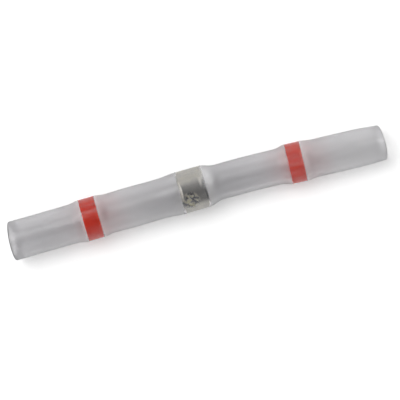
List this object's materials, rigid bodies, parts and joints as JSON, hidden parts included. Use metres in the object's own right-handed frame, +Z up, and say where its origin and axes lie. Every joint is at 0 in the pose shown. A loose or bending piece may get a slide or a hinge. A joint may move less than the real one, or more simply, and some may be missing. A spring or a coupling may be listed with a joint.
{
  "type": "solder seal wire connector",
  "caption": "Clear heat-shrink sleeve that holds a solder ring in the middle and a red sealant ring near each end, to splice and seal two wires.",
  "frame": {"origin": "centre of the solder ring, on the axis of its bore", "axes": "+X along the solder ring's bore towards the sleeve's slimmer half, +Z up as the sleeve lies on a table, so the sleeve lies along X with its straight half on -X and its bent half on +X"},
  "size_m": [0.0409, 0.0048, 0.0045],
  "materials": {
    "clear_sleeve": "satin",
    "red_sealant": "satin",
    "solder": "satin"
  },
  "bodies": {
    "root": {"heat_shrink_sleeve": "clear_sleeve", "seal_ring_left": "red_sealant", "solder_ring": "solder", "seal_ring_right": "red_sealant"}
  },
  "joints": []
}
